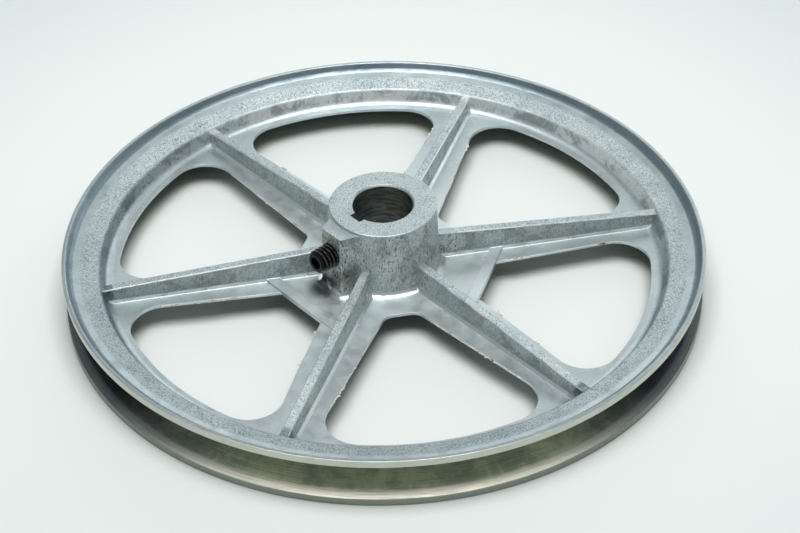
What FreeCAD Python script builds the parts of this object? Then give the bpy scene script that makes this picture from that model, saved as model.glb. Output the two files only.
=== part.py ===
import FreeCAD, Part
import math
import os

import Sketcher

# A spoked V-belt pulley: one zinc die casting (rim, web, six ribbed spokes, hub and set screw boss)
# and one hexagon socket set screw that clamps the hub to its shaft.
#
# Frame: origin on the bore axis at the middle of the rim's width, +Z along the bore towards the
# long end of the hub, +X along the set screw, outwards. Millimetres and degrees.

os.makedirs("parts", exist_ok=True)
doc = FreeCAD.newDocument("v_belt_pulley")

SIZES = {
    # rim and belt groove (radii from the bore axis, heights from the rim's middle plane)
    "rim_radius": 101.6,
    "rim_half_width": 8.65,
    "groove_mouth_half_width": 6.3,
    "groove_floor_radius": 91.0,
    "groove_floor_half_width": 2.65,
    "groove_floor_round": 1.0,
    "rim_edge_round": 0.2,
    "lip_inner_radius": 100.45,
    "lip_inner_round": 0.4,
    "face_outer_radius": 98.9,
    "face_outer_height": 6.4,
    "face_outer_round": 2.2,
    "shoulder_radius": 90.3,
    "shoulder_height": 4.0,
    "shoulder_round": 1.0,
    # web and its six windows
    "wall_root_radius": 88.4,
    "wall_root_round": 3.0,
    "web_top": -0.8,
    "web_middle": -1.3,
    "web_bottom": 1.8,
    "window_outer_radius": 85.1,
    "window_corner_round": 10.5,
    "window_side_angle": 33.05,
    "open_window_inner": 27.5,
    "open_window_inner_half_width": 5.1,
    "open_window_inner_round": 4.0,
    "gate_window_inner": 34.5,
    "gate_window_inner_half_width": 9.66,
    "gate_window_inner_round": 0.8,
    # gate lands: raised bars across the web at the inner end of three windows
    "gate_inner": 30.8,
    "gate_half_length": 18.3,
    "gate_top": -0.2,
    # ribs on both faces of the spokes
    "rib_start": 13.0,
    "rib_end": 90.6,
    "rib_angle": 30.0,
    "rib_edge_half_width": 1.5,
    "rib_edge_chamfer": 0.3,
    "rib_root_half_width": 2.1,
    "rib_root_flare": 0.8,
    "rib_top_at_hub": 8.0,
    "rib_top_at_rim": 3.5,
    "rib_bottom_at_hub": 7.8,
    "rib_bottom_at_rim": 3.5,
    # hub and bore
    "hub_top": 21.85,
    "hub_top_radius": 17.0,
    "hub_root_radius": 18.0,
    "hub_bottom_radius": 17.3,
    "hub_root_round": 2.4,
    "hub_edge_round": 0.4,
    "bore_radius": 9.525,
    "bore_chamfer": 0.5,
    "keyway_reach": 11.6,
    "keyway_half_width": 2.3,
    # set screw boss
    "boss_top": 20.9,
    "boss_reach": 22.0,
    "boss_end_half_width": 5.1,
    "boss_root_half_width": 11.5,
    "boss_corner_round": 1.3,
    "boss_join_round": 2.8,
    "boss_draft": 1.5,
    # set screw, 5/16 inch with 18 threads per inch, half an inch long
    "screw_height": 12.9,
    "screw_radius": 3.86,
    "screw_clearance": 0.12,
    "screw_inner_end": 15.2,
    "screw_length": 12.7,
    "screw_end_chamfer": 0.8,
    "thread_pitch": 1.411,
    "thread_root_radius": 3.05,
    "thread_root_half_width": 0.1,
    "thread_outside": 4.06,
    "thread_mouth_half_width": 0.69,
    "socket_half_flat": 1.985,
    "socket_depth": 4.5,
    "cup_radius": 2.0,
    "cup_depth": 1.2,
}
SPOKES = 6
GATED_WINDOWS = 3
FULL_TURN = 360.0

sheet = doc.addObject("Spreadsheet::Sheet", "Sizes")
for row, (alias, number) in enumerate(SIZES.items(), start=1):
    sheet.set(f"A{row}", alias)
    sheet.set(f"B{row}", str(number))
    sheet.setAlias(f"B{row}", alias)
doc.recompute()


def size(name):
    """The value of a cell or of a sum of cells, such as "gate_top + -web_middle"."""
    total = 0
    for term in name.split(" + "):
        total += -getattr(sheet, term[1:]) if term.startswith("-") else getattr(sheet, term)
    return total


def cell(name):
    """The expression for the same sum, which keeps a dimension bound to the sheet."""
    terms = []
    for term in name.split(" + "):
        terms.append(f"-Sizes.{term[1:]}" if term.startswith("-") else f"Sizes.{term}")
    return " + ".join(terms)


def opposite(name):
    """The same sum of cells with every sign changed."""
    terms = [term[1:] if term.startswith("-") else "-" + term for term in name.split(" + ")]
    return " + ".join(terms)


def origin_feature(body, role):
    for feature in body.Origin.OriginFeatures:
        if feature.Role == role:
            return feature
    raise ValueError(f"{body.Name} has no {role}")


def new_body(label):
    body = doc.addObject("PartDesign::Body", label)
    body.Label = label
    return body


def new_sketch(body, name, plane, lift=None):
    """A sketch on one of the body's own planes, lifted off it by the size in a cell."""
    sketch = body.newObject("Sketcher::SketchObject", name)
    sketch.AttachmentSupport = (origin_feature(body, plane), [""])
    sketch.MapMode = "FlatFace"
    if lift:
        sketch.AttachmentOffset.Base = FreeCAD.Vector(0, 0, size(lift))
        sketch.setExpression("AttachmentOffset.Base.z", cell(lift))
    return sketch


def constrain(sketch, kind, first, first_point, second, second_point, name):
    """A distance constraint between two points that reads its value from a cell."""
    index = sketch.addConstraint(
        Sketcher.Constraint(kind, first, first_point, second, second_point, size(name))
    )
    sketch.setExpression(f"Constraints[{index}]", cell(name))


def place_corner(sketch, geometry, point, corner):
    """Dimension one point of a sketch from the origin, along both axes."""
    across, up = corner
    for kind, name in (("DistanceX", across), ("DistanceY", up)):
        if name is None:
            fixed = "PointOnObject"
            axis = -2 if kind == "DistanceX" else -1
            sketch.addConstraint(Sketcher.Constraint(fixed, geometry, point, axis))
        else:
            constrain(sketch, kind, -1, 1, geometry, point, name)


def corner_vector(corner):
    across, up = corner
    return FreeCAD.Vector(0 if across is None else size(across), 0 if up is None else size(up), 0)


def polygon(sketch, corners):
    """A closed outline through corners given as pairs of cell names; None means on the axis."""
    count = len(corners)
    for index, corner in enumerate(corners):
        following = corners[(index + 1) % count]
        sketch.addGeometry(Part.LineSegment(corner_vector(corner), corner_vector(following)))
    for index in range(count):
        sketch.addConstraint(Sketcher.Constraint("Coincident", index, 2, (index + 1) % count, 1))
    for index, corner in enumerate(corners):
        place_corner(sketch, index, 1, corner)


def circle(sketch, centre_height, radius):
    """A circle on the sketch's upright axis."""
    centre = FreeCAD.Vector(0, size(centre_height) if centre_height else 0, 0)
    index = sketch.addGeometry(Part.Circle(centre, FreeCAD.Vector(0, 0, 1), size(radius)))
    place_corner(sketch, index, 3, (None, centre_height))
    number = sketch.addConstraint(Sketcher.Constraint("Radius", index, size(radius)))
    sketch.setExpression(f"Constraints[{number}]", cell(radius))
    return number


def round_edges(body, base, name, edges, radius):
    """A fillet on the edges of a feature, with its radius bound to a cell."""
    fillet = body.newObject("PartDesign::Fillet", name)
    fillet.Base = (base, edges)
    fillet.Radius = size(radius)
    fillet.setExpression("Radius", cell(radius))
    doc.recompute()
    return fillet


def circular_edges(shape, radius, height):
    """Names of the circular edges about the Z axis with a given radius and height."""
    found = []
    for index, edge in enumerate(shape.Edges, start=1):
        curve = edge.Curve
        if not isinstance(curve, Part.Circle):
            continue
        on_axis = math.hypot(curve.Center.x, curve.Center.y) < 1e-6
        if on_axis and abs(curve.Radius - radius) < 1e-4 and abs(curve.Center.z - height) < 1e-4:
            found.append(f"Edge{index}")
    return found


def upright_edges(shape, nearest, farthest):
    """Names of the straight edges along Z whose distance from the Z axis lies in a range."""
    found = []
    for index, edge in enumerate(shape.Edges, start=1):
        ends = [vertex.Point for vertex in edge.Vertexes]
        if len(ends) != 2 or not isinstance(edge.Curve, Part.Line):
            continue
        run = ends[1] - ends[0]
        if math.hypot(run.x, run.y) > 1e-6:
            continue
        if nearest < math.hypot(ends[0].x, ends[0].y) < farthest:
            found.append(f"Edge{index}")
    return found


def through_pocket(body, sketch, name):
    """A pocket that cuts both ways from its sketch, through everything."""
    pocket = body.newObject("PartDesign::Pocket", name)
    pocket.Profile = sketch
    pocket.Type = "ThroughAll"
    pocket.Midplane = True
    return pocket


def polar_pattern(body, feature, name, count):
    """Copies of a feature spaced evenly about the bore axis."""
    pattern = body.newObject("PartDesign::PolarPattern", name)
    pattern.Originals = [feature]
    pattern.Axis = (origin_feature(body, "Z_Axis"), [""])
    pattern.Angle = FULL_TURN
    pattern.Occurrences = count
    body.Tip = pattern
    doc.recompute()
    return pattern


def revolve_blank(body):
    """Rim, web and a hub without its bore, turned about the bore axis."""
    sketch = new_sketch(body, "BlankProfile", "XZ_Plane")
    upper_rim = [
        ("groove_floor_radius", "groove_floor_half_width"),
        ("rim_radius", "groove_mouth_half_width"),
        ("rim_radius", "rim_half_width"),
        ("lip_inner_radius", "rim_half_width"),
        ("face_outer_radius", "face_outer_height"),
        ("shoulder_radius", "shoulder_height"),
    ]
    lower_rim = [(across, "-" + up) for across, up in reversed(upper_rim)]
    polygon(
        sketch,
        [
            (None, "-rim_half_width"),
            ("hub_bottom_radius", "-rim_half_width"),
            ("hub_root_radius", "-web_bottom"),
            ("wall_root_radius", "-web_bottom"),
            *lower_rim,
            *upper_rim,
            ("wall_root_radius", "web_top"),
            ("hub_root_radius", "web_top"),
            ("hub_top_radius", "hub_top"),
            (None, "hub_top"),
        ],
    )
    blank = body.newObject("PartDesign::Revolution", "Blank")
    blank.Profile = sketch
    blank.ReferenceAxis = (sketch, ["V_Axis"])
    blank.Angle = FULL_TURN
    doc.recompute()
    return blank


def round_blank(body, base):
    """Roots, shoulders, lips and groove corners of the turned blank, one fillet per radius."""
    rounds = [
        ("WallRoots", "wall_root_round", [("wall_root_radius", "web_top")]),
        ("LowerHubRoot", "hub_root_round", [("hub_root_radius", "-web_bottom")]),
        ("LowerWallRoot", "wall_root_round", [("wall_root_radius", "-web_bottom")]),
        (
            "Shoulders",
            "shoulder_round",
            [("shoulder_radius", "shoulder_height"), ("shoulder_radius", "-shoulder_height")],
        ),
        (
            "FaceFillets",
            "face_outer_round",
            [("face_outer_radius", "face_outer_height"), ("face_outer_radius", "-face_outer_height")],
        ),
        (
            "GrooveCorners",
            "groove_floor_round",
            [
                ("groove_floor_radius", "groove_floor_half_width"),
                ("groove_floor_radius", "-groove_floor_half_width"),
            ],
        ),
        (
            "LipEdges",
            "lip_inner_round",
            [("lip_inner_radius", "rim_half_width"), ("lip_inner_radius", "-rim_half_width")],
        ),
        (
            "RimEdges",
            "rim_edge_round",
            [
                ("rim_radius", "rim_half_width"),
                ("rim_radius", "-rim_half_width"),
                ("rim_radius", "groove_mouth_half_width"),
                ("rim_radius", "-groove_mouth_half_width"),
            ],
        ),
        (
            "HubEdges",
            "hub_edge_round",
            [("hub_top_radius", "hub_top"), ("hub_bottom_radius", "-rim_half_width")],
        ),
    ]
    for name, radius, circles in rounds:
        edges = []
        for ring_radius, ring_height in circles:
            edges += circular_edges(base.Shape, size(ring_radius), size(ring_height))
        base = round_edges(body, base, name, edges, radius)
    return base


def window(body, name, inner, inner_half_width):
    """One opening between two spokes, symmetric about the sketch's X axis, cut through the web."""
    sketch = new_sketch(body, name + "Outline", "XY_Plane")
    outer_radius = size("window_outer_radius")
    slope = math.tan(math.radians(size("window_side_angle")))
    start = FreeCAD.Vector(size(inner), size(inner_half_width), 0)
    # outer corner: the side line's crossing with the outer arc
    offset = start.y - slope * start.x
    root = math.sqrt(outer_radius**2 * (1 + slope**2) - offset**2)
    outer_across = (root - slope * offset) / (1 + slope**2)
    outer = FreeCAD.Vector(outer_across, slope * outer_across + offset, 0)
    half_angle = math.atan2(outer.y, outer.x)
    mirrored_start = FreeCAD.Vector(start.x, -start.y, 0)
    mirrored_outer = FreeCAD.Vector(outer.x, -outer.y, 0)
    arc_circle = Part.Circle(FreeCAD.Vector(), FreeCAD.Vector(0, 0, 1), outer_radius)
    end_line = sketch.addGeometry(Part.LineSegment(start, mirrored_start))
    lower_side = sketch.addGeometry(Part.LineSegment(mirrored_start, mirrored_outer))
    outer_arc = sketch.addGeometry(Part.ArcOfCircle(arc_circle, -half_angle, half_angle))
    upper_side = sketch.addGeometry(Part.LineSegment(outer, start))
    for joined in (
        (end_line, 2, lower_side, 1),
        (lower_side, 2, outer_arc, 1),
        (outer_arc, 2, upper_side, 1),
        (upper_side, 2, end_line, 1),
        (outer_arc, 3, -1, 1),
    ):
        sketch.addConstraint(Sketcher.Constraint("Coincident", *joined))
    sketch.addConstraint(Sketcher.Constraint("Symmetric", end_line, 1, end_line, 2, -1))
    sketch.addConstraint(Sketcher.Constraint("Symmetric", outer_arc, 1, outer_arc, 2, -1))
    place_corner(sketch, end_line, 1, (inner, inner_half_width))
    radius = sketch.addConstraint(Sketcher.Constraint("Radius", outer_arc, outer_radius))
    sketch.setExpression(f"Constraints[{radius}]", cell("window_outer_radius"))
    angle = sketch.addConstraint(
        Sketcher.Constraint("Angle", lower_side, math.radians(-size("window_side_angle")))
    )
    sketch.setExpression(f"Constraints[{angle}]", "-Sizes.window_side_angle * 1 deg")
    return through_pocket(body, sketch, name)


def cut_windows(body):
    """Three windows that end at a gate land and three that reach in towards the hub."""
    gated = window(body, "GateWindow", "gate_window_inner", "gate_window_inner_half_width")
    doc.recompute()
    polar_pattern(body, gated, "GateWindows", GATED_WINDOWS)
    reaching = window(body, "OpenWindow", "open_window_inner", "open_window_inner_half_width")
    turn = FULL_TURN / SPOKES
    reaching.Profile[0].AttachmentOffset = FreeCAD.Placement(
        FreeCAD.Vector(), FreeCAD.Rotation(FreeCAD.Vector(0, 0, 1), turn)
    )
    doc.recompute()
    windows = polar_pattern(body, reaching, "OpenWindows", SPOKES - GATED_WINDOWS)
    outer = size("window_outer_radius")
    corners = upright_edges(windows.Shape, outer - 1.0, outer + 0.1)
    windows = round_edges(body, windows, "WindowCorners", corners, "window_corner_round")
    open_corner = math.hypot(size("open_window_inner"), size("open_window_inner_half_width"))
    corners = upright_edges(windows.Shape, open_corner - 0.1, open_corner + 0.1)
    windows = round_edges(body, windows, "OpenWindowEnds", corners, "open_window_inner_round")
    gate_corner = math.hypot(size("gate_window_inner"), size("gate_window_inner_half_width"))
    corners = upright_edges(windows.Shape, gate_corner - 0.1, gate_corner + 0.1)
    return round_edges(body, windows, "GateWindowEnds", corners, "gate_window_inner_round")


def add_gate_lands(body):
    """Low bars left where the metal was fed in, between neighbouring ribs."""
    sketch = new_sketch(body, "GateLandOutline", "XY_Plane", "web_middle")
    polygon(
        sketch,
        [
            ("gate_inner", "-gate_half_length"),
            ("gate_window_inner", "-gate_half_length"),
            ("gate_window_inner", "gate_half_length"),
            ("gate_inner", "gate_half_length"),
        ],
    )
    land = body.newObject("PartDesign::Pad", "GateLand")
    land.Profile = sketch
    land.Type = "Length"
    land.Length = size("gate_top + -web_middle")
    land.setExpression("Length", cell("gate_top + -web_middle"))
    doc.recompute()
    return polar_pattern(body, land, "GateLands", GATED_WINDOWS)


def rib_section(body, name, distance, top, bottom):
    """The cross-section of a spoke's ribs, at a distance from the bore axis."""
    sketch = new_sketch(body, name, "YZ_Plane")
    angle = math.radians(size("rib_angle"))
    sketch.AttachmentOffset = FreeCAD.Placement(
        FreeCAD.Vector(size(distance) * math.sin(angle), 0, size(distance) * math.cos(angle)),
        FreeCAD.Rotation(FreeCAD.Vector(0, 1, 0), size("rib_angle")),
    )
    sketch.setExpression("AttachmentOffset.Base.x", f"Sizes.{distance} * sin(Sizes.rib_angle * 1 deg)")
    sketch.setExpression("AttachmentOffset.Base.z", f"Sizes.{distance} * cos(Sizes.rib_angle * 1 deg)")
    edge = "rib_edge_half_width"
    inside = "rib_edge_half_width + -rib_edge_chamfer"
    root = "rib_root_half_width"
    flare = "rib_root_half_width + rib_root_flare"
    right_above = [
        (flare, "web_top"),
        (root, "web_top + rib_root_flare"),
        (edge, f"{top} + -rib_edge_chamfer"),
        (inside, top),
    ]
    right_below = [
        (inside, opposite(bottom)),
        (edge, f"-{bottom} + rib_edge_chamfer"),
        (root, "-web_bottom + -rib_root_flare"),
        (flare, "-web_bottom"),
    ]
    left_above = [(opposite(across), up) for across, up in reversed(right_above)]
    left_below = [(opposite(across), up) for across, up in reversed(right_below)]
    polygon(sketch, right_above + left_above + left_below + right_below)
    return sketch


def add_ribs(body):
    """A tapering rib on both faces of each spoke, from the hub to the rim's wall."""
    at_hub = rib_section(body, "RibAtHub", "rib_start", "rib_top_at_hub", "rib_bottom_at_hub")
    at_rim = rib_section(body, "RibAtRim", "rib_end", "rib_top_at_rim", "rib_bottom_at_rim")
    rib = body.newObject("PartDesign::AdditiveLoft", "Rib")
    rib.Profile = at_hub
    rib.Sections = [at_rim]
    rib.Ruled = True
    doc.recompute()
    return polar_pattern(body, rib, "Ribs", SPOKES)


def boss_corners(shape, nearest, farthest):
    """Names of the boss's tall edges that stand in a range of distances along +X."""
    found = []
    for index, edge in enumerate(shape.Edges, start=1):
        ends = [vertex.Point for vertex in edge.Vertexes]
        if len(ends) != 2 or abs(ends[0].z - ends[1].z) < 0.5 * size("boss_top"):
            continue
        if nearest < min(end.x for end in ends) and max(end.x for end in ends) < farthest:
            found.append(f"Edge{index}")
    return found


def root_edges(shape):
    """Names of the edges where the hub and its boss stand on the web."""
    found = []
    for index, edge in enumerate(shape.Edges, start=1):
        ends = [vertex.Point for vertex in edge.Vertexes]
        if len(ends) == 2 and all(abs(end.z - size("web_top")) < 1e-3 for end in ends):
            found.append(f"Edge{index}")
    return found


def add_boss(body):
    """The tapering boss beside the hub that carries the set screw's thread."""
    sketch = new_sketch(body, "BossOutline", "XY_Plane", "web_middle")
    polygon(
        sketch,
        [
            (None, "-boss_root_half_width"),
            ("boss_reach", "-boss_end_half_width"),
            ("boss_reach", "boss_end_half_width"),
            (None, "boss_root_half_width"),
        ],
    )
    boss = body.newObject("PartDesign::Pad", "Boss")
    boss.Profile = sketch
    boss.Type = "Length"
    boss.Length = size("boss_top + -web_middle")
    boss.setExpression("Length", cell("boss_top + -web_middle"))
    boss.TaperAngle = -size("boss_draft")
    boss.setExpression("TaperAngle", "-Sizes.boss_draft * 1 deg")
    doc.recompute()
    reach = size("boss_reach")
    corners = boss_corners(boss.Shape, reach - 1.0, reach + 0.1)
    boss = round_edges(body, boss, "BossCorners", corners, "boss_corner_round")
    joins = boss_corners(boss.Shape, 0.5 * reach, size("hub_root_radius") - 0.5)
    boss = round_edges(body, boss, "BossJoins", joins, "boss_join_round")
    return round_edges(body, boss, "HubRoot", root_edges(boss.Shape), "hub_root_round")


def cut_bore_and_keyway(body):
    """The bore, its keyway towards the set screw, and a chamfer at each end of the bore."""
    bore_sketch = new_sketch(body, "BoreCircle", "XY_Plane")
    circle(bore_sketch, None, "bore_radius")
    bore = through_pocket(body, bore_sketch, "Bore")
    doc.recompute()
    ends = circular_edges(bore.Shape, size("bore_radius"), size("hub_top"))
    ends += circular_edges(bore.Shape, size("bore_radius"), size("-rim_half_width"))
    chamfer = body.newObject("PartDesign::Chamfer", "BoreChamfers")
    chamfer.Base = (bore, ends)
    chamfer.Size = size("bore_chamfer")
    chamfer.setExpression("Size", cell("bore_chamfer"))
    doc.recompute()
    keyway_sketch = new_sketch(body, "KeywayOutline", "XY_Plane")
    polygon(
        keyway_sketch,
        [
            (None, "-keyway_half_width"),
            ("keyway_reach", "-keyway_half_width"),
            ("keyway_reach", "keyway_half_width"),
            (None, "keyway_half_width"),
        ],
    )
    keyway = through_pocket(body, keyway_sketch, "Keyway")
    doc.recompute()
    return keyway


def cut_screw_hole(body):
    """The set screw's hole, from the bore out through the boss, cleared to the thread's crests."""
    sketch = new_sketch(body, "ScrewHoleCircle", "YZ_Plane")
    radius = circle(sketch, "screw_height", "screw_radius")
    sketch.setExpression(f"Constraints[{radius}]", "Sizes.screw_radius + Sizes.screw_clearance")
    hole = body.newObject("PartDesign::Pocket", "ScrewHole")
    hole.Profile = sketch
    hole.Type = "ThroughAll"
    hole.Reversed = True
    doc.recompute()
    return hole


def build_casting():
    body = new_body("pulley_casting")
    blank = revolve_blank(body)
    round_blank(body, blank)
    add_boss(body)
    cut_windows(body)
    add_gate_lands(body)
    add_ribs(body)
    cut_bore_and_keyway(body)
    cut_screw_hole(body)
    return body


def build_set_screw():
    """A cup point socket set screw along +X, its thread cut as a helix."""
    body = new_body("set_screw")
    height = size("screw_height")
    body.Placement = FreeCAD.Placement(
        FreeCAD.Vector(size("screw_inner_end"), 0, height),
        FreeCAD.Rotation(FreeCAD.Vector(0, 1, 0), 90),
    )
    body.setExpression("Placement.Base.x", "Sizes.screw_inner_end")
    body.setExpression("Placement.Base.z", "Sizes.screw_height")
    outline = new_sketch(body, "ShankCircle", "XY_Plane")
    circle(outline, None, "screw_radius")
    shank = body.newObject("PartDesign::Pad", "Shank")
    shank.Profile = outline
    shank.Type = "Length"
    shank.Length = size("screw_length")
    shank.setExpression("Length", cell("screw_length"))
    doc.recompute()
    ends = circular_edges(shank.Shape, size("screw_radius"), 0)
    ends += circular_edges(shank.Shape, size("screw_radius"), size("screw_length"))
    chamfer = body.newObject("PartDesign::Chamfer", "ShankEnds")
    chamfer.Base = (shank, ends)
    chamfer.Size = size("screw_end_chamfer")
    chamfer.setExpression("Size", cell("screw_end_chamfer"))
    doc.recompute()
    cut_thread(body)
    cut_socket(body)
    cut_cup(body)
    return body


def cut_thread(body):
    """The thread's groove: a tapered slot wound along the shank from end to end."""
    sketch = new_sketch(body, "ThreadGroove", "XZ_Plane")
    polygon(
        sketch,
        [
            ("thread_root_radius", "thread_root_half_width"),
            ("thread_root_radius", "-thread_root_half_width"),
            ("thread_outside", "-thread_mouth_half_width"),
            ("thread_outside", "thread_mouth_half_width"),
        ],
    )
    sketch.AttachmentOffset.Base = FreeCAD.Vector(0, -size("thread_pitch"), 0)
    sketch.setExpression("AttachmentOffset.Base.y", "-Sizes.thread_pitch")
    thread = body.newObject("PartDesign::SubtractiveHelix", "Thread")
    thread.Profile = sketch
    thread.ReferenceAxis = (sketch, ["V_Axis"])
    thread.Mode = "pitch-height-angle"
    thread.Pitch = size("thread_pitch")
    thread.setExpression("Pitch", cell("thread_pitch"))
    thread.Height = size("screw_length") + 2 * size("thread_pitch")
    thread.setExpression("Height", "Sizes.screw_length + 2 * Sizes.thread_pitch")
    thread.Angle = 0
    doc.recompute()
    return thread


def cut_socket(body):
    """The hexagon socket in the outer end."""
    sketch = new_sketch(body, "SocketHexagon", "XY_Plane")
    across = size("socket_half_flat") / math.cos(math.pi / 6)
    corners = [
        FreeCAD.Vector(across * math.cos(turn * math.pi / 3), across * math.sin(turn * math.pi / 3), 0)
        for turn in range(6)
    ]
    for index in range(6):
        sketch.addGeometry(Part.LineSegment(corners[index], corners[(index + 1) % 6]))
    guide = sketch.addGeometry(
        Part.Circle(FreeCAD.Vector(), FreeCAD.Vector(0, 0, 1), size("socket_half_flat")), True
    )
    for index in range(6):
        following = (index + 1) % 6
        sketch.addConstraint(Sketcher.Constraint("Coincident", index, 2, following, 1))
        sketch.addConstraint(Sketcher.Constraint("Tangent", index, guide))
        if index:
            sketch.addConstraint(Sketcher.Constraint("Equal", 0, index))
    sketch.addConstraint(Sketcher.Constraint("Coincident", guide, 3, -1, 1))
    sketch.addConstraint(Sketcher.Constraint("PointOnObject", 0, 1, -1))
    radius = sketch.addConstraint(Sketcher.Constraint("Radius", guide, size("socket_half_flat")))
    sketch.setExpression(f"Constraints[{radius}]", cell("socket_half_flat"))
    sketch.AttachmentOffset.Base = FreeCAD.Vector(0, 0, size("screw_length"))
    sketch.setExpression("AttachmentOffset.Base.z", "Sizes.screw_length")
    socket = body.newObject("PartDesign::Pocket", "Socket")
    socket.Profile = sketch
    socket.Type = "Length"
    socket.Length = size("socket_depth")
    socket.setExpression("Length", cell("socket_depth"))
    doc.recompute()
    return socket


def cut_cup(body):
    """The hollow of the cup point."""
    sketch = new_sketch(body, "CupProfile", "XZ_Plane")
    polygon(sketch, [(None, None), ("cup_radius", None), (None, "cup_depth")])
    cup = body.newObject("PartDesign::Groove", "Cup")
    cup.Profile = sketch
    cup.ReferenceAxis = (sketch, ["V_Axis"])
    cup.Angle = FULL_TURN
    doc.recompute()
    return cup


PIECES = [build_casting(), build_set_screw()]
doc.recompute()

for item in doc.Objects:
    if "Invalid" in item.State or "Error" in item.State:
        raise RuntimeError(f"{item.Name} failed: {item.State}")
for piece in PIECES:
    shape = piece.Shape
    if shape.isNull() or not shape.isValid() or len(shape.Solids) != 1:
        raise RuntimeError(f"{piece.Label} is not one valid solid")
    box = shape.optimalBoundingBox()
    print(piece.Label, round(shape.Volume, 1), box)
    shape.exportStep(f"parts/{piece.Label}.step")
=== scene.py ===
"""Looks for the V belt pulley: cast zinc, a black set screw, casting flash, floor, lights and camera.

Lengths are in metres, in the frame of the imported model: +Z is the bore axis and +X is the set
screw's axis. Inside the materials and for the flash, positions and sizes are in millimetres.
"""

import math
from types import SimpleNamespace

import bmesh
import bpy
from mathutils import Matrix, Vector, noise


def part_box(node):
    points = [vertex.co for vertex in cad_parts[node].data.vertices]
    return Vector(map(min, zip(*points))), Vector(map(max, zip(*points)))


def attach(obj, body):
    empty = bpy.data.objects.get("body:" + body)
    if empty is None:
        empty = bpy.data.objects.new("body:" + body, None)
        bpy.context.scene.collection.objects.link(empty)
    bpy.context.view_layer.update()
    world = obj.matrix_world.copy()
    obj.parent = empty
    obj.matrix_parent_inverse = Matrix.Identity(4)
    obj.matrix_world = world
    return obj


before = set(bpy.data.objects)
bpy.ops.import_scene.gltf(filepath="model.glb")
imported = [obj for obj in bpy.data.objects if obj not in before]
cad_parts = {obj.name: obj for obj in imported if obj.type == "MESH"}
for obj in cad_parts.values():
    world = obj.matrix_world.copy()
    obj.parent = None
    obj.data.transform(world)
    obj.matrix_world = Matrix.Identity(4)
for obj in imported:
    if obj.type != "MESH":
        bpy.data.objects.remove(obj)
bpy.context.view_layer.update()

MM = 0.001
FLOOR_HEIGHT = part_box("pulley_casting")[0].z
FLOOR_REACH = 3.0

# the middle of the pool of light painted on the floor, in millimetres, chosen to copy the photo's floor
FLOOR_MIDDLE = (-16.0, -19.0)

# the sky's strength at the horizon and up high, and the upward share at which it stops fading
SKY_STRENGTH_LOW = 0.52
SKY_STRENGTH_HIGH = 0.22
SKY_FADE_END = 0.8

# the camera's place, in the frame of the pulley
CAMERA_TURN = math.radians(139.0)
CAMERA_ELEVATION = math.radians(38.945)
CAMERA_ROLL = math.radians(-1.10)
CAMERA_PLACE = Vector((0.32497, 0.38150, 0.40129))
CAMERA_LENS = 90.28
SENSOR_WIDTH = 36.0

# azimuth, about +Z from +X, of the middle of the stretch of groove where a pale, greenish painted
# reflection stands in for light; the rest of the groove gets blue-black painted shade.
# It is the azimuth of CAMERA_PLACE: the change of colour was copied from the photo by that side alone,
# and it is painted reflection and shade there instead of the metal's own colour
PALE_SIDE = math.radians(49.6)

# the way, as shares of X and Y, along which painted shade darkens the flange and the slope inside it, and
# a painted highlight brightens the slope's other side.
# It too was chosen to copy brightness in the photo, and says nothing about the real metal
DULL_WAY = (0.87, 0.5)

# the rim's radius, in millimetres
RIM = 101.6

# the surface half way between the groove's wall and the flange's outer face, in millimetres:
# its height at the groove's floor, and its rise per millimetre of radius
GROOVE_FLOOR = 91.0
DIVIDE_HEIGHT = 3.4
DIVIDE_RISE = 0.319

# the dark patch at the foot of the set screw boss, a stain with painted shade in the corner, in
# millimetres
FOOT_X = 23.0
FOOT_Y = -2.5

# the windows' straight sides, in millimetres: where they start, as distance out and half width
GATE_WINDOW = (34.5, 9.66)
OPEN_WINDOW = (27.5, 5.1)
WINDOWS = 6
WINDOW_SIDE_ANGLE = math.radians(33.05)

# the flash on those sides, in millimetres
FLASH_START_AT_GATE = 3.0
FLASH_START_AT_OPEN = 6.0
FLASH_END = 44.0
FLASH_STEPS = 160
FLASH_TAPER_STEPS = 12
FLASH_TOP = -0.84
FLASH_TIP_DROP = 0.08
FLASH_TIP_THICKNESS = 0.14
FLASH_ROOT_THICKNESS = 0.5
FLASH_ROOT_DEPTH = 0.3
FLASH_LEAST_REACH = 0.05
FLASH_REACH = 0.95


def rgba(colour):
    """A plain colour with its alpha, or a socket as it is."""
    return (*colour, 1.0) if isinstance(colour, tuple) else colour


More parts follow.
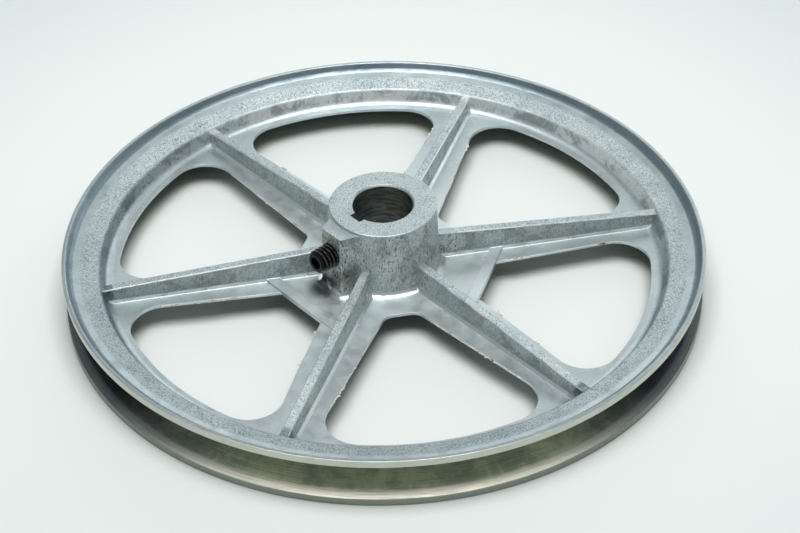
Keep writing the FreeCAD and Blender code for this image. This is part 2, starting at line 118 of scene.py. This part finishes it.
class Graph:
    """A material's node tree, built by short calls that return sockets."""

    def __init__(self, name):
        self.material = bpy.data.materials.new(name)
        self.material.use_nodes = True
        self.tree = self.material.node_tree
        self.tree.nodes.clear()
        self.output = self.tree.nodes.new("ShaderNodeOutputMaterial")

    def add(self, kind, inputs=(), **settings):
        """Adds a node. inputs maps a socket's name or number to a value or another socket."""
        node = self.tree.nodes.new(kind)
        for key, value in settings.items():
            setattr(node, key, value)
        for key, value in dict(inputs).items():
            if isinstance(value, bpy.types.NodeSocket):
                self.tree.links.new(value, node.inputs[key])
            else:
                node.inputs[key].default_value = value
        return node

    def math(self, operation, first, second=0.0, clamp=False):
        node = self.add("ShaderNodeMath", {0: first, 1: second}, operation=operation, use_clamp=clamp)
        return node.outputs[0]

    def plus(self, first, second, clamp=False):
        return self.math("ADD", first, second, clamp)

    def minus(self, first, second, clamp=False):
        return self.math("SUBTRACT", first, second, clamp)

    def product(self, *factors):
        result = factors[0]
        for factor in factors[1:]:
            result = self.math("MULTIPLY", result, factor)
        return result

    def length(self, first, second):
        """The length of a vector with two parts."""
        return self.math("SQRT", self.plus(self.product(first, first), self.product(second, second)))

    def blend(self, share, first, second):
        """first where share is 0 and second where it is 1, as colours."""
        inputs = {0: share, 6: rgba(first), 7: rgba(second)}
        return self.add("ShaderNodeMix", inputs, data_type="RGBA").outputs[2]

    def tint(self, share, first, second):
        """first multiplied by second, by a share."""
        inputs = {0: share, 6: rgba(first), 7: rgba(second)}
        return self.add("ShaderNodeMix", inputs, data_type="RGBA", blend_type="MULTIPLY").outputs[2]

    def between(self, value, low, high, at_low=0.0, at_high=1.0):
        """A value mapped smoothly from one range to another, and held at its ends."""
        node = self.add(
            "ShaderNodeMapRange",
            {"Value": value, "From Min": low, "From Max": high, "To Min": at_low, "To Max": at_high},
            interpolation_type="SMOOTHSTEP",
        )
        return node.outputs[0]

    def below(self, value, low, high):
        """1 up to low, falling to 0 at high."""
        return self.between(value, low, high, 1.0, 0.0)

    def band(self, value, low, high, soft):
        """1 between low and high, 0 outside, with soft shoulders."""
        rise = self.between(value, low - soft, low + soft)
        fall = self.below(value, high - soft, high + soft)
        return self.product(rise, fall)

    def noise(self, place, feature, detail=3.0, roughness=0.55, distortion=0.0):
        """Noise with features of a size in millimetres, from about 0 to 1."""
        node = self.add(
            "ShaderNodeTexNoise",
            {
                "Vector": place,
                "Scale": 1.0 / feature,
                "Detail": detail,
                "Roughness": roughness,
                "Distortion": distortion,
            },
        )
        return node.outputs["Fac"]

    def stretched(self, place, across, along, up):
        """The place with each axis scaled, so that noise on it is drawn out."""
        return self.add("ShaderNodeMapping", {"Vector": place, "Scale": (across, along, up)}).outputs[0]

    def bump(self, height, distance, strength, under=None):
        inputs = {"Height": height, "Distance": distance * MM, "Strength": strength}
        if under is not None:
            inputs["Normal"] = under
        return self.add("ShaderNodeBump", inputs).outputs[0]

    def place(self):
        """Object coordinates in millimetres."""
        coordinates = self.add("ShaderNodeTexCoord").outputs["Object"]
        scaled = self.add("ShaderNodeVectorMath", {0: coordinates, "Scale": 1 / MM}, operation="SCALE")
        return scaled.outputs[0]

    def parts(self, vector):
        """The X, Y and Z of a vector."""
        node = self.add("ShaderNodeSeparateXYZ", {0: vector})
        return node.outputs[0], node.outputs[1], node.outputs[2]

    def finish(self, **inputs):
        """Ends the tree with a principled shader. Sockets are named with _ for each space."""
        sockets = {key.replace("_", " "): value for key, value in inputs.items()}
        shader = self.add("ShaderNodeBsdfPrincipled", sockets)
        self.tree.links.new(shader.outputs[0], self.output.inputs["Surface"])
        return self.material


def zinc_zones(g, x, y, z):
    """Shares, from 0 to 1, that say on which feature of the pulley a point lies."""
    radius = g.length(x, y)
    height = g.math("ABSOLUTE", z)
    upward = g.parts(g.add("ShaderNodeNewGeometry").outputs["True Normal"])[2]
    tilt = g.math("ABSOLUTE", upward)
    steep = g.below(tilt, 0.35, 0.55)
    level = g.between(tilt, 0.90, 0.97)
    leaning = g.band(tilt, 0.45, 0.93, 0.06)
    at = SimpleNamespace(radius=radius, z=z)

    # rim, groove and flange
    divide = g.plus(DIVIDE_HEIGHT, g.product(DIVIDE_RISE, g.minus(radius, GROOVE_FLOOR)))
    inside = g.below(g.minus(height, divide), -0.2, 0.2)
    at.groove = g.product(g.band(radius, GROOVE_FLOOR - 0.3, RIM - 0.1, 0.1), inside)
    outside = g.minus(1.0, at.groove)
    at.deep_groove = g.product(at.groove, g.below(radius, RIM - 3.2, RIM - 2.0))
    at.land = g.between(radius, RIM - 0.25, RIM - 0.1)
    at.lip = g.product(g.band(radius, 98.3, 100.35, 0.35), outside, g.between(height, 5.0, 5.6))
    at.smooth_face = g.product(g.band(radius, 96.2, 98.3, 0.35), outside, g.between(height, 3.6, 4.4))
    at.grainy_face = g.product(g.band(radius, 90.2, 96.0, 0.6), g.between(height, 2.9, 3.5), outside)

    # web and ribs
    at.slope = g.product(g.band(radius, 86.6, 90.4, 0.5), g.between(z, -0.3, 0.8))
    at.web = g.product(level, g.below(radius, 88.5, 89.0), g.band(z, -1.3, 0.1, 0.1))
    ribs = g.product(g.band(radius, 20.5, 89.5, 1.0), g.between(z, 0.1, 0.5))
    at.rib_sides = g.product(ribs, steep)
    at.rib_tops = g.product(ribs, level)
    at.rib_edges = g.product(ribs, leaning, g.between(z, 1.6, 2.4))
    at.fillets = g.product(leaning, g.below(radius, 84.5, 85.5), g.band(z, -1.1, 2.2, 0.2))

    # hub, bore and boss
    at.hub_top = g.product(g.below(radius, 17.6, 18.0), g.between(z, 19.5, 20.5), level)
    at.hub_sides = g.product(steep, g.band(radius, 14.0, 23.5, 0.5), g.band(z, 0.5, 21.4, 0.4))
    at.bore = g.product(g.below(radius, 12.2, 12.8), steep)
    from_foot = g.length(g.minus(x, FOOT_X), g.minus(y, FOOT_Y))
    at.boss_foot = g.product(g.below(from_foot, 2.0, 7.0), g.below(z, 2.0, 5.0))

    # the underside, darkened by painted shade, and the zones of painted reflection, highlight and shade,
    # placed by azimuth and by a way across the pulley
    at.underside = g.below(upward, -0.5, -0.3)
    azimuth = g.math("ARCTAN2", y, x)
    at.pale_side = g.below(g.math("ABSOLUTE", g.minus(azimuth, PALE_SIDE)), 0.45, 1.0)
    at.dark_groove = g.product(at.groove, g.minus(1.0, at.pale_side))
    dull_way = g.plus(g.product(x, DULL_WAY[0]), g.product(y, DULL_WAY[1]))
    at.dull_rim = g.product(g.between(radius, 85.0, 90.0), outside, g.between(dull_way, -50.0, 90.0))
    at.bright_slope = g.product(at.slope, g.below(dull_way, -80.0, 0.0))
    at.dull_slope = g.product(at.slope, g.between(dull_way, -60.0, 20.0, 0.0, 0.85))

    # where the skin is coarse, and where it is at all rough
    coarse_faces = g.plus(at.grainy_face, at.hub_top)
    coarse_sides = g.plus(at.rib_tops, at.hub_sides)
    at.coarse = g.plus(coarse_faces, coarse_sides, clamp=True)
    at.rough = g.plus(at.coarse, g.plus(at.rib_sides, at.slope), clamp=True)
    at.unrolled = g.add("ShaderNodeCombineXYZ", {0: g.product(azimuth, 90.0), 1: radius, 2: z}).outputs[0]
    return at


def zinc_patterns(g, place, unrolled):
    """Noise and cells at several sizes, from clouds 22 mm wide to grain under half a millimetre."""
    cells = g.add("ShaderNodeTexVoronoi", {"Vector": place, "Scale": 1.0 / 0.85, "Randomness": 1.0})
    pit_size = g.between(g.noise(place, 6.0, 3.0, 0.7), 0.42, 0.72, 0.04, 0.40)
    upright = g.noise(g.stretched(place, 1.0, 1.0, 0.4), 0.5, 3.0, 0.75)
    return SimpleNamespace(
        cloud=g.noise(place, 22.0, 2.0),
        stain=g.noise(place, 9.0, 6.0, 0.74, 0.4),
        mottle=g.noise(place, 5.0, 4.0, 0.62),
        fleck=g.noise(place, 1.3, 4.0, 0.70),
        grain=g.noise(place, 0.42, 2.0, 0.6),
        pits=g.below(g.minus(cells.outputs["Distance"], pit_size), -0.07, 0.03),
        upright_pits=g.between(upright, 0.53, 0.62),
        turned=g.noise(g.stretched(unrolled, 0.02, 1.0, 1.0), 0.34, 2.0, 0.7),
        rings=g.noise(g.stretched(place, 0.16, 0.16, 1.0), 0.75, 3.0, 0.65),
    )


def bare_zinc(g, at, by):
    """The bare metal's colour with its grain, flecks and pits."""
    colour = g.blend(g.between(by.cloud, 0.35, 0.65), (0.575, 0.645, 0.665), (0.47, 0.545, 0.575))
    mottle = g.product(g.between(by.mottle, 0.5, 0.68), 0.3)
    colour = g.blend(mottle, colour, (0.34, 0.39, 0.42))
    light_grain = g.product(g.between(by.grain, 0.50, 0.66), g.plus(0.10, g.product(at.coarse, 0.45)))
    colour = g.blend(light_grain, colour, (0.82, 0.88, 0.89))
    dark_grain = g.product(g.below(by.grain, 0.36, 0.50), g.plus(0.14, g.product(at.rough, 0.42)))
    colour = g.blend(dark_grain, colour, (0.12, 0.15, 0.165))
    flecks = g.product(g.between(by.fleck, 0.56, 0.66), g.plus(0.22, g.product(at.rough, 0.22)))
    colour = g.blend(flecks, colour, (0.13, 0.16, 0.175))
    pits = g.product(by.pits, g.plus(0.06, g.product(at.rough, 0.34)))
    return g.blend(pits, colour, (0.05, 0.06, 0.065))


def stained_zinc(g, at, by, colour):
    """Stains, wear on edges and the tone of each feature that was left as cast, with painted shade and
    highlights on the web, slope, flange, lip, fillets, rib edges, boss foot and underside.
    """
    stains = g.between(by.stain, 0.47, 0.60)
    colour = g.blend(g.product(at.rib_sides, 0.35), colour, (0.66, 0.70, 0.66))
    colour = g.blend(g.product(stains, at.rib_sides, 0.38), colour, (0.10, 0.125, 0.13))
    # painted sheen: the web is brightened, most of all close to the hub
    near_hub = g.between(at.radius, 25.0, 70.0, 1.0, 0.25)
    colour = g.blend(g.product(at.web, near_hub, 0.85), colour, (0.83, 0.90, 0.92))
    # painted highlight on one side of the slope inside the flange; painted shade on its other side and on
    # the flange
    colour = g.blend(g.product(at.bright_slope, 0.75), colour, (0.92, 0.97, 0.97))
    colour = g.tint(at.dull_slope, colour, (0.52, 0.58, 0.63))
    colour = g.tint(at.dull_rim, colour, (0.74, 0.75, 0.76))
    colour = g.blend(g.product(stains, at.slope, 0.50), colour, (0.11, 0.135, 0.155))
    # painted shade darkens the lip's inner slope
    colour = g.tint(g.product(at.lip, 0.80), colour, (0.36, 0.43, 0.50))
    colour = g.blend(g.product(at.smooth_face, 0.12), colour, (0.70, 0.78, 0.80))
    colour = g.blend(g.product(at.hub_sides, 0.40), colour, (0.72, 0.75, 0.72))
    warm_stain = g.product(g.between(by.stain, 0.44, 0.62), at.hub_sides, 0.5)
    colour = g.blend(warm_stain, colour, (0.17, 0.155, 0.125))
    pitted_sides = g.plus(at.hub_sides, g.product(at.rib_sides, 0.7))
    colour = g.blend(g.product(by.upright_pits, pitted_sides, 0.6), colour, (0.04, 0.05, 0.05))
    # painted highlight along the fillets at the feet of the ribs and the hub
    bright_fillets = g.product(at.fillets, g.between(at.radius, 22.0, 26.0, 0.85, 0.55))
    colour = g.blend(bright_fillets, colour, (0.90, 0.94, 0.92))
    # paler rounded rib edges: wear, with a painted highlight
    worn_edges = g.product(at.rib_edges, g.between(by.mottle, 0.35, 0.55), 0.7)
    colour = g.blend(worn_edges, colour, (0.90, 0.93, 0.91))
    # a stain with painted shade in the corner at the foot of the boss
    dark_foot = g.product(at.boss_foot, g.between(by.stain, 0.38, 0.52), 0.85)
    colour = g.blend(dark_foot, colour, (0.02, 0.025, 0.025))
    # painted shade: the underside is darkened
    return g.tint(g.product(at.underside, 0.75), colour, (0.30, 0.31, 0.28))


def machined_zinc(g, at, by, colour):
    """The turned groove and lands, and the bored hole, with painted reflection and shade in the groove and
    on the lands.
    """
    patches = g.between(by.stain, 0.40, 0.62)
    # painted reflection in the groove, pale and greenish on one stretch of the rim, and near black painted
    # shade on the rest
    olive = g.blend(patches, (0.36, 0.42, 0.34), (0.62, 0.64, 0.52))
    blue_black = g.blend(patches, (0.010, 0.020, 0.034), (0.030, 0.042, 0.045))
    pale_band = g.product(at.groove, g.plus(0.12, g.product(at.pale_side, 0.70)))
    colour = g.blend(pale_band, colour, (0.74, 0.70, 0.60))
    colour = g.blend(g.product(at.dark_groove, 0.8), colour, blue_black)
    colour = g.blend(g.product(at.deep_groove, 0.95), colour, g.blend(at.pale_side, blue_black, olive))
    streaks = g.product(at.groove, g.between(by.turned, 0.45, 0.7), 0.35)
    colour = g.blend(streaks, colour, (0.05, 0.055, 0.05))
    bore_tone = g.blend(g.between(by.mottle, 0.35, 0.6), (0.30, 0.38, 0.43), (0.48, 0.45, 0.37))
    colour = g.blend(g.product(at.bore, 0.85), colour, bore_tone)
    bore_rings = g.product(at.bore, g.between(by.rings, 0.45, 0.62), 0.6)
    colour = g.blend(bore_rings, colour, (0.05, 0.06, 0.07))
    # painted light and shade: the upper land pale cream, the lower land dark and greenish
    land_tone = g.blend(g.between(at.z, -2.0, 2.0), (0.26, 0.28, 0.23), (0.62, 0.62, 0.54))
    return g.blend(g.product(at.land, 0.8), colour, land_tone)


def zinc_relief(g, at, by):
    """Rounded edges under a wavy skin with flecks and pits, and fine grain on top."""
    rounded = g.add("ShaderNodeBevel", {"Radius": 0.30 * MM}, samples=4).outputs[0]
    wavy = g.bump(by.mottle, 0.4, 0.12, rounded)
    skin_height = g.minus(by.fleck, g.product(by.pits, 0.35))
    skin = g.bump(skin_height, 0.16, g.plus(0.30, g.product(at.rough, 0.4)), wavy)
    cast_grain = g.product(by.grain, g.plus(0.30, at.rough))
    return g.bump(g.plus(cast_grain, g.product(by.turned, at.groove)), 0.06, 0.6, skin)


def cast_zinc():
    """Die-cast zinc: pale, bluish, finely pitted, stained on its steep sides and machined on the rim, with
    painted shade, highlights and reflections in places.
    """
    g = Graph("cast_zinc_surface")
    place = g.place()
    x, y, z = g.parts(place)
    at = zinc_zones(g, x, y, z)
    by = zinc_patterns(g, place, at.unrolled)
    colour = machined_zinc(g, at, by, stained_zinc(g, at, by, bare_zinc(g, at, by)))
    rough = g.plus(0.36, g.product(g.between(by.mottle, 0.3, 0.75), 0.14))
    rough = g.plus(rough, g.product(at.rough, 0.14))
    rough = g.plus(rough, g.product(by.pits, 0.10))
    return g.finish(
        Base_Color=colour,
        # where the groove has painted shade, it is also made less metallic and less shiny
        Metallic=g.minus(1.0, g.product(at.dark_groove, 0.8)),
        Roughness=g.minus(rough, g.product(at.fillets, 0.10), clamp=True),
        Specular_IOR_Level=g.minus(0.5, g.product(at.dark_groove, 0.42)),
        Normal=zinc_relief(g, at, by),
    )


def bright_flash():
    """Bare torn edges of the same zinc, brighter than the skin."""
    g = Graph("bright_flash_surface")
    place = g.place()
    colour = g.blend(g.noise(place, 1.6, 3.0, 0.7), (0.72, 0.74, 0.70), (0.95, 0.94, 0.88))
    colour = g.blend(g.between(g.noise(place, 4.0), 0.55, 0.66), colour, (0.20, 0.20, 0.17))
    relief = g.bump(g.noise(place, 0.4), 0.08, 0.6)
    return g.finish(Base_Color=colour, Metallic=1.0, Roughness=0.38, Normal=relief)


def black_steel():
    """Black oxide on the set screw: near black, with paler thread crests that show wear and a painted
    highlight.
    """
    g = Graph("black_steel_surface")
    place = g.place()
    _, y, z = g.parts(place)
    lowest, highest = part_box("set_screw")
    middle = (lowest.z + highest.z) / 2 / MM
    crest = (highest.z - lowest.z) / 2 / MM
    from_axis = g.length(y, g.minus(z, middle))
    patches = g.between(g.noise(place, 0.8), 0.35, 0.6)
    # paler thread crests: wear, with a painted highlight
    worn = g.product(g.between(from_axis, crest - 0.25, crest - 0.02), patches)
    colour = g.blend(g.noise(place, 0.7), (0.006, 0.006, 0.007), (0.016, 0.015, 0.016))
    colour = g.blend(g.product(worn, 0.5), colour, (0.24, 0.22, 0.22))
    rough = g.plus(0.24, g.product(g.noise(place, 0.5), 0.2))
    relief = g.bump(g.noise(place, 0.25, 2.0, 0.6), 0.03, 0.4)
    return g.finish(Base_Color=colour, Metallic=0.65, Roughness=rough, Normal=relief)


def pale_floor():
    """A plain pale sweep under the pulley, with a painted pool of light in the middle and painted shade
    close under metal.
    """
    g = Graph("pale_floor_surface")
    place = g.place()
    x, y, _ = g.parts(place)
    away = g.length(g.minus(x, FLOOR_MIDDLE[0]), g.minus(y, FLOOR_MIDDLE[1]))
    near = g.blend(g.noise(place, 90.0, 1.0), (0.80, 0.84, 0.835), (0.82, 0.86, 0.85))
    # painted light: the floor is palest round the middle and darkens outwards
    colour = g.blend(g.between(away, 85.0, 320.0), near, (0.545, 0.60, 0.62))
    # painted shade where metal hangs close over the floor
    openness = g.add("ShaderNodeAmbientOcclusion", {"Distance": 12.0 * MM}, samples=4).outputs["AO"]
    colour = g.tint(g.below(openness, 0.10, 0.80), colour, (0.40, 0.42, 0.36))
    return g.finish(Base_Color=colour, Roughness=0.75, Specular_IOR_Level=0.2)


def repaint(node, material):
    """Gives every material slot of a CAD node the same surface."""
    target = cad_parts[node]
    target.data.materials.clear()
    target.data.materials.append(material)


def add_floor(material):
    mesh = bpy.data.meshes.new("floor_mesh")
    reach = FLOOR_REACH
    corners = [(-reach, -reach), (reach, -reach), (reach, reach), (-reach, reach)]
    mesh.from_pydata([(x, y, FLOOR_HEIGHT) for x, y in corners], [], [(0, 1, 2, 3)])
    mesh.materials.append(material)
    floor = bpy.data.objects.new("floor", mesh)
    bpy.context.scene.collection.objects.link(floor)


def side_of_window(inner, half_width, mirror):
    """The straight side of a window on the X axis: its start, direction and the way into the window."""
    angle = WINDOW_SIDE_ANGLE * mirror
    start = Vector((inner, half_width * mirror, 0.0))
    along = Vector((math.cos(angle), math.sin(angle), 0.0))
    into = Vector((along.y, -along.x, 0.0)) * mirror
    return start, along, into


def flash_reach(distance, step, seed_row):
    """How far the ragged fin reaches into the window, in millimetres, fading out at both ends."""
    seed = Vector((distance * 0.9, seed_row, 0.0))
    ragged = 0.5 + 0.9 * noise.noise(seed) + 0.5 * noise.noise(seed * 3.1)
    patch = min(1.0, max(0.0, 0.6 + 2.0 * noise.noise(seed * 0.12)))
    taper = min(1.0, step / FLASH_TAPER_STEPS, (FLASH_STEPS - step) / FLASH_TAPER_STEPS)
    return FLASH_LEAST_REACH + FLASH_REACH * max(0.0, ragged) * patch * taper


def add_fin(build, turn, first, side, seed_row):
    """One fin along one side of a window, as rows of four corners with closed ends."""
    start, along, into = side
    rows = []
    for step in range(FLASH_STEPS + 1):
        distance = first + step * (FLASH_END - first) / FLASH_STEPS
        edge = start + along * distance
        root = edge - into * FLASH_ROOT_DEPTH
        tip = edge + into * flash_reach(distance, step, seed_row)
        tip_top = FLASH_TOP - FLASH_TIP_DROP
        corners = (
            (root, FLASH_TOP),
            (tip, tip_top),
            (tip, tip_top - FLASH_TIP_THICKNESS),
            (root, FLASH_TOP - FLASH_ROOT_THICKNESS),
        )
        rows.append([build.verts.new(turn @ Vector((p.x, p.y, z)) * MM) for p, z in corners])
    for row, following in zip(rows, rows[1:]):
        for here in range(4):
            there = (here + 1) % 4
            build.faces.new((row[here], following[here], following[there], row[there]))
    build.faces.new(rows[0])
    build.faces.new(reversed(rows[-1]))


def add_flash(material):
    """Thin ragged fins of metal left along the sides of the windows, where the die's halves met."""
    build = bmesh.new()
    for index in range(WINDOWS):
        turn = Matrix.Rotation(index * math.tau / WINDOWS, 4, "Z")
        at_gate = index % 2 == 0
        inner, half_width = GATE_WINDOW if at_gate else OPEN_WINDOW
        first = FLASH_START_AT_GATE if at_gate else FLASH_START_AT_OPEN
        for mirror in (1, -1):
            side = side_of_window(inner, half_width, mirror)
            add_fin(build, turn, first, side, index * 17.0 + mirror * 5.0)
    bmesh.ops.recalc_face_normals(build, faces=build.faces)
    mesh = bpy.data.meshes.new("window_flash_mesh")
    build.to_mesh(mesh)
    build.free()
    mesh.materials.append(material)
    flash = bpy.data.objects.new("window_flash", mesh)
    bpy.context.scene.collection.objects.link(flash)
    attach(flash, "pulley")


def add_softbox(name, turn, elevation, distance, width, height, power, colour):
    """A soft area light that faces the hub; turn is measured from the camera's side, towards its right."""
    light = bpy.data.lights.new(name, "AREA")
    light.shape = "RECTANGLE"
    light.size = width
    light.size_y = height
    light.energy = power
    light.color = colour
    lamp = bpy.data.objects.new(name, light)
    bpy.context.scene.collection.objects.link(lamp)
    azimuth = CAMERA_TURN - math.pi / 2 + math.radians(turn)
    lift = math.radians(elevation)
    level = math.cos(lift)
    away = Vector((math.cos(azimuth) * level, math.sin(azimuth) * level, math.sin(lift)))
    facing = away.to_track_quat("Z", "Y").to_matrix().to_4x4()
    lamp.matrix_world = Matrix.Translation(away * distance) @ facing


def add_world():
    """A pale backdrop that fades from the horizon towards the top of the sky."""
    world = bpy.data.worlds.new("studio")
    bpy.context.scene.world = world
    world.use_nodes = True
    tree = world.node_tree
    direction = tree.nodes.new("ShaderNodeTexCoord").outputs["Generated"]
    parts = tree.nodes.new("ShaderNodeSeparateXYZ")
    tree.links.new(direction, parts.inputs[0])
    fading = tree.nodes.new("ShaderNodeMapRange")
    tree.links.new(parts.outputs[2], fading.inputs["Value"])
    fading.inputs["From Max"].default_value = SKY_FADE_END
    fading.inputs["To Min"].default_value = SKY_STRENGTH_LOW
    fading.inputs["To Max"].default_value = SKY_STRENGTH_HIGH
    backdrop = tree.nodes["Background"]
    backdrop.inputs["Color"].default_value = (0.94, 1.0, 0.99, 1.0)
    tree.links.new(fading.outputs[0], backdrop.inputs["Strength"])


def add_camera():
    data = bpy.data.cameras.new("main_camera")
    data.sensor_fit = "HORIZONTAL"
    data.sensor_width = SENSOR_WIDTH
    data.lens = CAMERA_LENS
    data.clip_start = 0.01
    camera = bpy.data.objects.new("main_camera", data)
    bpy.context.scene.collection.objects.link(camera)
    camera.matrix_world = (
        Matrix.Translation(CAMERA_PLACE)
        @ Matrix.Rotation(CAMERA_TURN, 4, "Z")
        @ Matrix.Rotation(math.pi / 2 - CAMERA_ELEVATION, 4, "X")
        @ Matrix.Rotation(CAMERA_ROLL, 4, "Z")
    )
    bpy.context.scene.camera = camera


bpy.context.scene.view_settings.view_transform = "Standard"
repaint("pulley_casting", cast_zinc())
repaint("set_screw", black_steel())
add_flash(bright_flash())
add_floor(pale_floor())
add_world()
add_softbox("overhead_softbox", 0.0, 86.0, 1.5, 1.1, 0.9, 19.5, (1.0, 1.0, 0.985))
add_softbox("back_softbox", 160.0, 20.0, 1.8, 3.0, 1.1, 12.0, (0.96, 1.0, 1.0))
add_camera()

bpy.context.view_layer.update()
